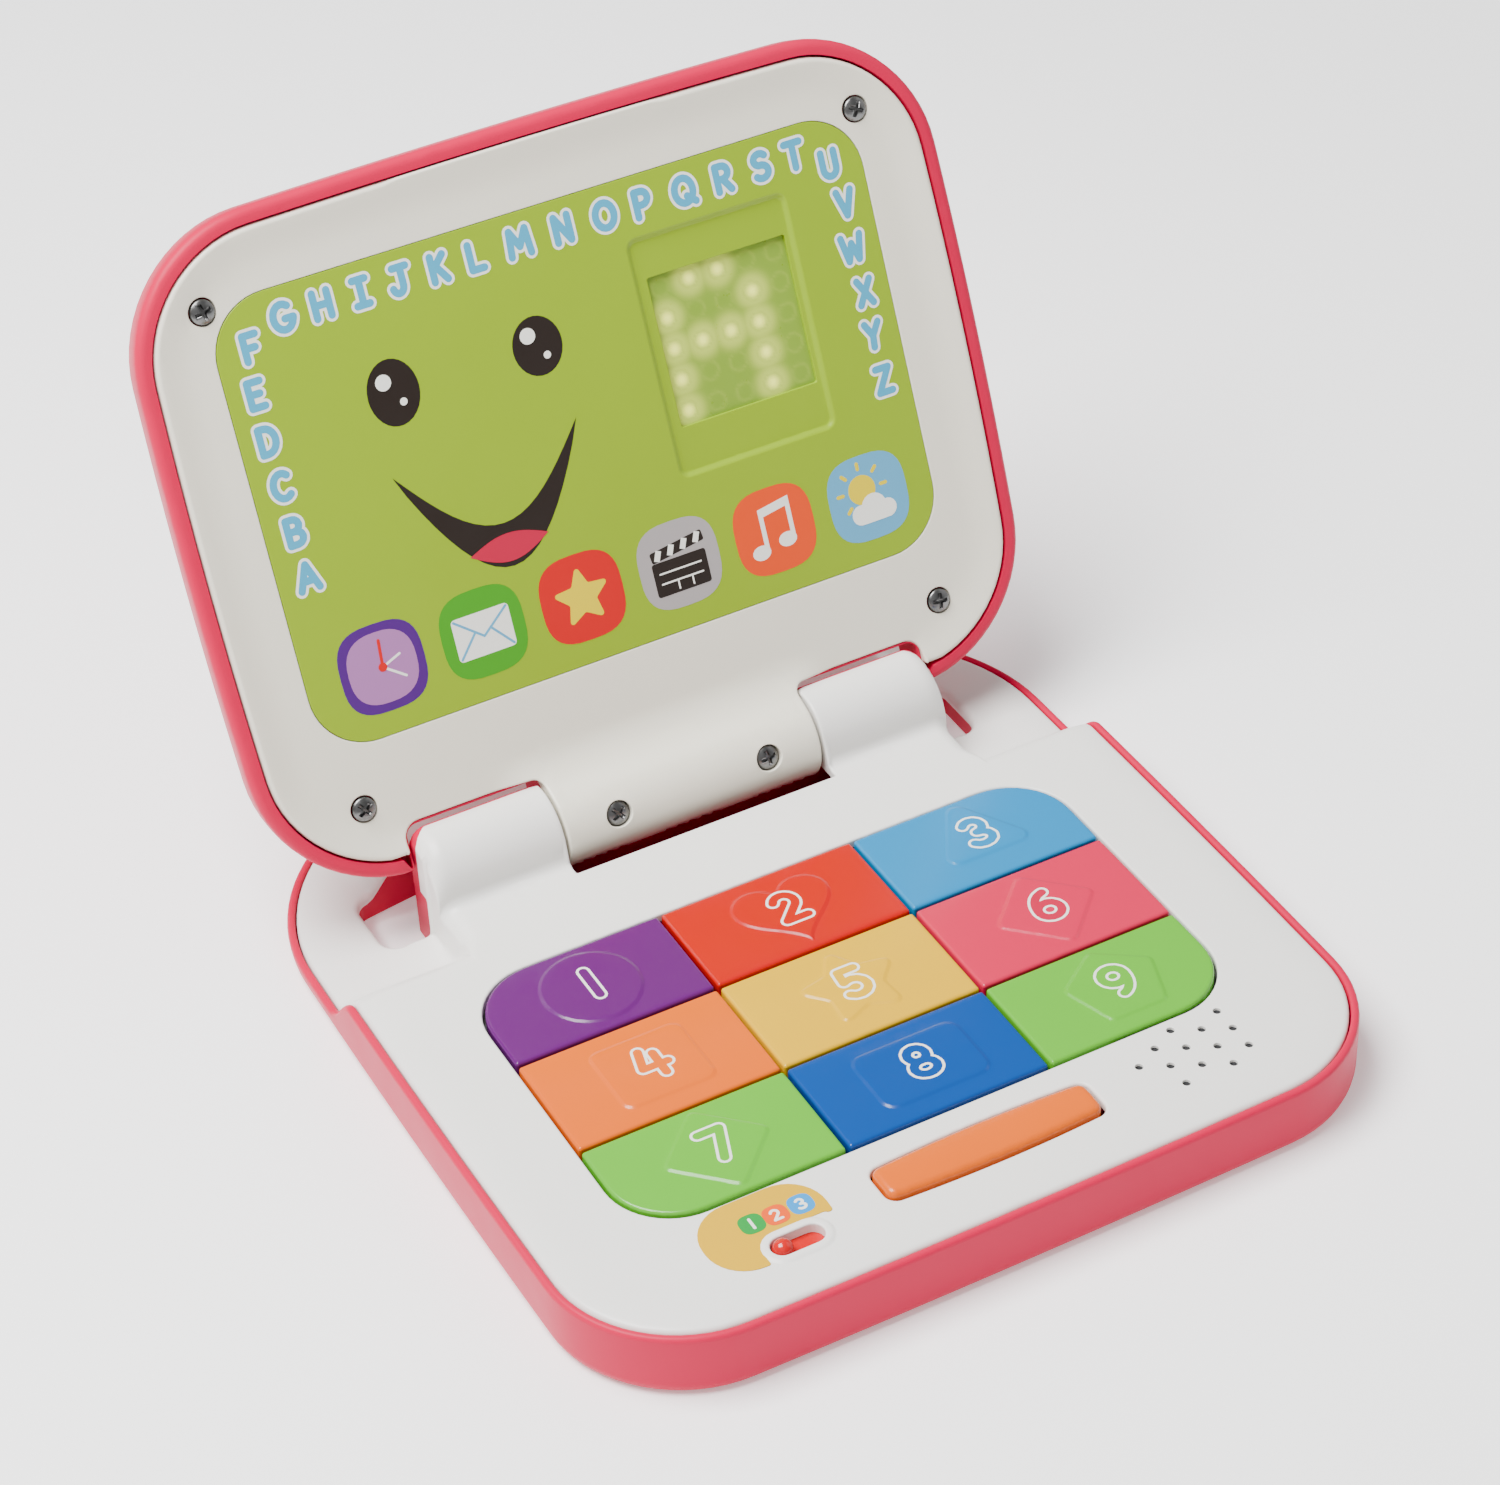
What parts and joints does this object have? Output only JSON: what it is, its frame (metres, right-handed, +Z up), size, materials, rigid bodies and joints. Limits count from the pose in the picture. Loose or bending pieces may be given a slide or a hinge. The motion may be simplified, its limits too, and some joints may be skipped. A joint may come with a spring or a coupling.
{
  "type": "toy laptop computer",
  "caption": "Toddler's clamshell toy laptop with a handle, big number keys, a press bar, a mode slider, a smiling printed screen and an LED letter window.",
  "frame": {"origin": "middle of the base's footprint, on the flat underside that stands on the table", "axes": "+X to the user's right, +Y away from the user towards the hinge and handle, +Z up"},
  "size_m": [0.245, 0.2815, 0.2048],
  "materials": {
    "pink_shell": "satin moulded pink ABS",
    "white_cover": "smooth white ABS",
    "white_bezel": "smooth warm white ABS",
    "steel_screw": "zinc plated steel",
    "inner_plastic": "plain grey ABS",
    "key_purple": "glossy purple",
    "key_red": "glossy red",
    "key_sky": "glossy light blue",
    "key_orange": "glossy orange",
    "key_yellow": "glossy yellow",
    "key_pink": "glossy pink",
    "key_green": "glossy green",
    "key_blue": "glossy blue",
    "silicone": "translucent grey silicone rubber",
    "circuit_board": "green solder mask",
    "dark_part": "dark grey plastic",
    "label_print": "printed yellow label",
    "knob_red": "glossy red",
    "knob_white": "white plastic",
    "paper_cone": "black paper cone",
    "metal": "plated steel",
    "cell_wrap": "printed cell sleeve",
    "cable": "PVC ribbon",
    "screen_print": "printed green panel",
    "green_lens": "translucent green lens",
    "led_lamp": "lamp"
  },
  "bodies": {
    "base": {"base_lower_shell": "pink_shell", "base_top_cover": "white_cover", "base_screws": "steel_screw", "key_frame": "inner_plastic", "frame_screws": "steel_screw", "key_membrane": "silicone", "key_board": "circuit_board", "board_screws": "steel_screw", "main_board": "circuit_board", "bar_switch": "dark_part", "mode_label": "label_print", "mode_switch": "dark_part", "power_switch": "dark_part", "speaker_frame": "dark_part", "speaker_cone": "paper_cone", "speaker_magnet": "metal", "batteries": "cell_wrap", "battery_contacts": "metal", "hinge_pins": "metal", "base_cable": "cable"},
    "lid": {"lid_cable": "cable", "lid_back_shell": "pink_shell", "lid_bezel": "white_bezel", "screen_panel": "screen_print", "led_window": "green_lens", "led_baffle": "knob_white", "leds": "led_lamp", "led_board": "circuit_board", "lid_screws": "steel_screw", "barrel_screws": "steel_screw"},
    "key_1": {"key_1": "key_purple"},
    "key_2": {"key_2": "key_red"},
    "key_3": {"key_3": "key_sky"},
    "key_4": {"key_4": "key_orange"},
    "key_5": {"key_5": "key_yellow"},
    "key_6": {"key_6": "key_pink"},
    "key_7": {"key_7": "key_green"},
    "key_8": {"key_8": "key_blue"},
    "key_9": {"key_9": "key_green"},
    "press_bar": {"press_bar": "key_orange"},
    "mode_knob": {"mode_knob": "knob_red"},
    "power_knob": {"power_knob": "knob_white"},
    "battery_door": {"battery_door": "pink_shell", "battery_door_screw": "steel_screw"}
  },
  "joints": [
    {"name": "lid_hinge", "type": "hinge", "parent": "base", "child": "lid", "pos_m": [0, 0.067, 0.025], "axis": [1, 0, 0], "range_deg": [0, 112.5]},
    {"name": "key_1_press", "type": "slide", "parent": "base", "child": "key_1", "axis": [0, 0, -1], "range_m": [0, 0.0015], "stiffness_N_per_m": 350, "springref_m": -0.0012},
    {"name": "key_2_press", "type": "slide", "parent": "base", "child": "key_2", "axis": [0, 0, -1], "range_m": [0, 0.0015], "stiffness_N_per_m": 350, "springref_m": -0.0012},
    {"name": "key_3_press", "type": "slide", "parent": "base", "child": "key_3", "axis": [0, 0, -1], "range_m": [0, 0.0015], "stiffness_N_per_m": 350, "springref_m": -0.0012},
    {"name": "key_4_press", "type": "slide", "parent": "base", "child": "key_4", "axis": [0, 0, -1], "range_m": [0, 0.0015], "stiffness_N_per_m": 350, "springref_m": -0.0012},
    {"name": "key_5_press", "type": "slide", "parent": "base", "child": "key_5", "axis": [0, 0, -1], "range_m": [0, 0.0015], "stiffness_N_per_m": 350, "springref_m": -0.0012},
    {"name": "key_6_press", "type": "slide", "parent": "base", "child": "key_6", "axis": [0, 0, -1], "range_m": [0, 0.0015], "stiffness_N_per_m": 350, "springref_m": -0.0012},
    {"name": "key_7_press", "type": "slide", "parent": "base", "child": "key_7", "axis": [0, 0, -1], "range_m": [0, 0.0015], "stiffness_N_per_m": 350, "springref_m": -0.0012},
    {"name": "key_8_press", "type": "slide", "parent": "base", "child": "key_8", "axis": [0, 0, -1], "range_m": [0, 0.0015], "stiffness_N_per_m": 350, "springref_m": -0.0012},
    {"name": "key_9_press", "type": "slide", "parent": "base", "child": "key_9", "axis": [0, 0, -1], "range_m": [0, 0.0015], "stiffness_N_per_m": 350, "springref_m": -0.0012},
    {"name": "bar_press", "type": "slide", "parent": "base", "child": "press_bar", "axis": [0, 0, -1], "range_m": [0, 0.0015], "stiffness_N_per_m": 350, "springref_m": -0.0012},
    {"name": "mode_slide", "type": "slide", "parent": "base", "child": "mode_knob", "axis": [1, 0, 0], "range_m": [0, 0.0086]},
    {"name": "power_slide", "type": "slide", "parent": "base", "child": "power_knob", "axis": [1, 0, 0], "range_m": [0, 0.006]},
    {"name": "battery_door_swing", "type": "hinge", "parent": "base", "child": "battery_door", "pos_m": [0, 0.0448, 0.0005], "axis": [1, 0, 0], "range_deg": [0, 70]}
  ]
}
